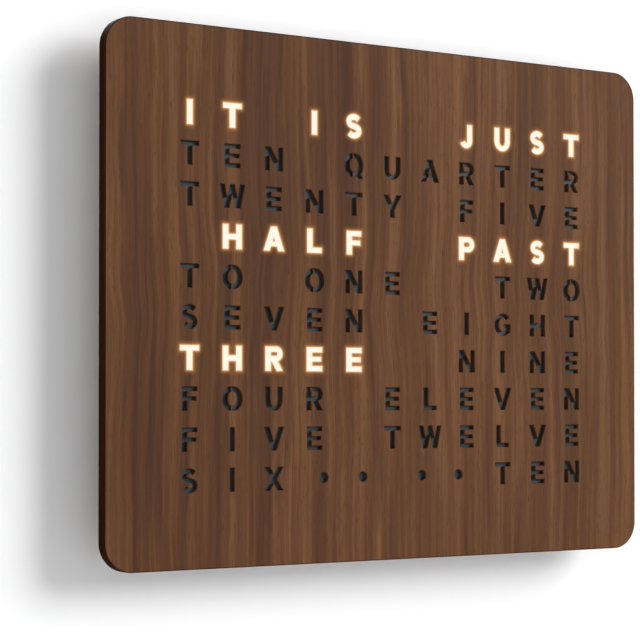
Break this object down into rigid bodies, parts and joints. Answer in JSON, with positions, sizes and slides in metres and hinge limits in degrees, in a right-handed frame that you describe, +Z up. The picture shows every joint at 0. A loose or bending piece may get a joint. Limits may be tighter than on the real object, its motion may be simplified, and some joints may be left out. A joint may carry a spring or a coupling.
{
  "type": "word clock",
  "caption": "Wall-hung word clock: wooden slab with lit cut-out words over a baffled lamp grid, on a shallow housing with push buttons, power inlet and keyholes.",
  "frame": {"origin": "on the wall plane, straight behind the middle of the face", "axes": "+Z up, +Y into the wall, so the face looks along -Y, and +X to the right for a person who reads the clock"},
  "size_m": [0.5, 0.038, 0.4],
  "materials": {
    "walnut": "oiled satin veneer, upright grain",
    "walnut_back": "dark stained board",
    "walnut_edge": "dark stained veneer",
    "smoked_sheet": "satin smoked acrylic",
    "white_card": "matt white",
    "lamp_board_white": "white lacquer",
    "strip_white": "white solder mask",
    "lamp_lens": "clear cast lens",
    "wire_red": "satin sleeve",
    "wire_black": "satin sleeve",
    "wire_white": "satin sleeve",
    "housing_black": "fine moulded grain",
    "cover_steel": "fine powder coat",
    "board_green": "solder mask",
    "board_black": "solder mask",
    "shield_metal": "satin",
    "chip_black": "moulded epoxy",
    "gloss_black": "semi gloss",
    "cell_steel": "satin",
    "can_aluminium": "satin",
    "nylon": "natural nylon",
    "contact_metal": "bright nickel",
    "sensor_amber": "clear cast dome",
    "button_red": "gloss",
    "button_white": "gloss",
    "button_blue": "gloss",
    "spring_steel": "bright wire",
    "zinc_screw": "zinc plated",
    "screw_black": "black oxide"
  },
  "bodies": {
    "clock": {"face_panel": "walnut", "slab_frame": "walnut_back", "edge_band": "walnut_edge", "diffuser_sheet": "smoked_sheet", "grid_uprights": "white_card", "grid_rails": "white_card", "lamp_board": "lamp_board_white", "lamp_strips": "strip_white", "lamps": "lamp_lens", "strip_links": "wire_red", "rear_housing": "housing_black", "rear_cover": "cover_steel", "controller_board": "board_green", "board_standoffs": "nylon", "processor_board": "board_black", "processor_chips": "shield_metal", "clock_chip": "chip_black", "driver_chip": "chip_black", "cell_holder": "gloss_black", "coin_cell": "cell_steel", "smoothing_capacitor": "can_aluminium", "wire_headers": "nylon", "power_inlet": "gloss_black", "inlet_pin": "contact_metal", "inlet_terminals": "contact_metal", "inlet_nut": "contact_metal", "light_sensor": "sensor_amber", "button_bodies": "gloss_black", "button_nuts": "contact_metal", "button_terminals": "contact_metal", "hours_spring": "spring_steel", "minutes_spring": "spring_steel", "light_spring": "spring_steel", "supply_lead": "wire_red", "ground_lead": "wire_black", "lamp_lead": "wire_white", "button_leads": "wire_white", "sensor_lead": "wire_white", "frame_screws": "zinc_screw", "lamp_board_screws": "zinc_screw", "cover_screws": "screw_black"},
    "hours_button": {"hours_button": "button_red"},
    "minutes_button": {"minutes_button": "button_white"},
    "light_button": {"light_button": "button_blue"}
  },
  "joints": [
    {"name": "hours_press", "type": "slide", "parent": "clock", "child": "hours_button", "axis": [0, 0, 1], "range_m": [0, 0.0015], "stiffness_N_per_m": 600, "springref_m": -0.002, "deforming": ["hours_spring"]},
    {"name": "minutes_press", "type": "slide", "parent": "clock", "child": "minutes_button", "axis": [0, 0, 1], "range_m": [0, 0.0015], "stiffness_N_per_m": 600, "springref_m": -0.002, "deforming": ["minutes_spring"]},
    {"name": "light_press", "type": "slide", "parent": "clock", "child": "light_button", "axis": [0, 0, 1], "range_m": [0, 0.0015], "stiffness_N_per_m": 600, "springref_m": -0.002, "deforming": ["light_spring"]}
  ]
}
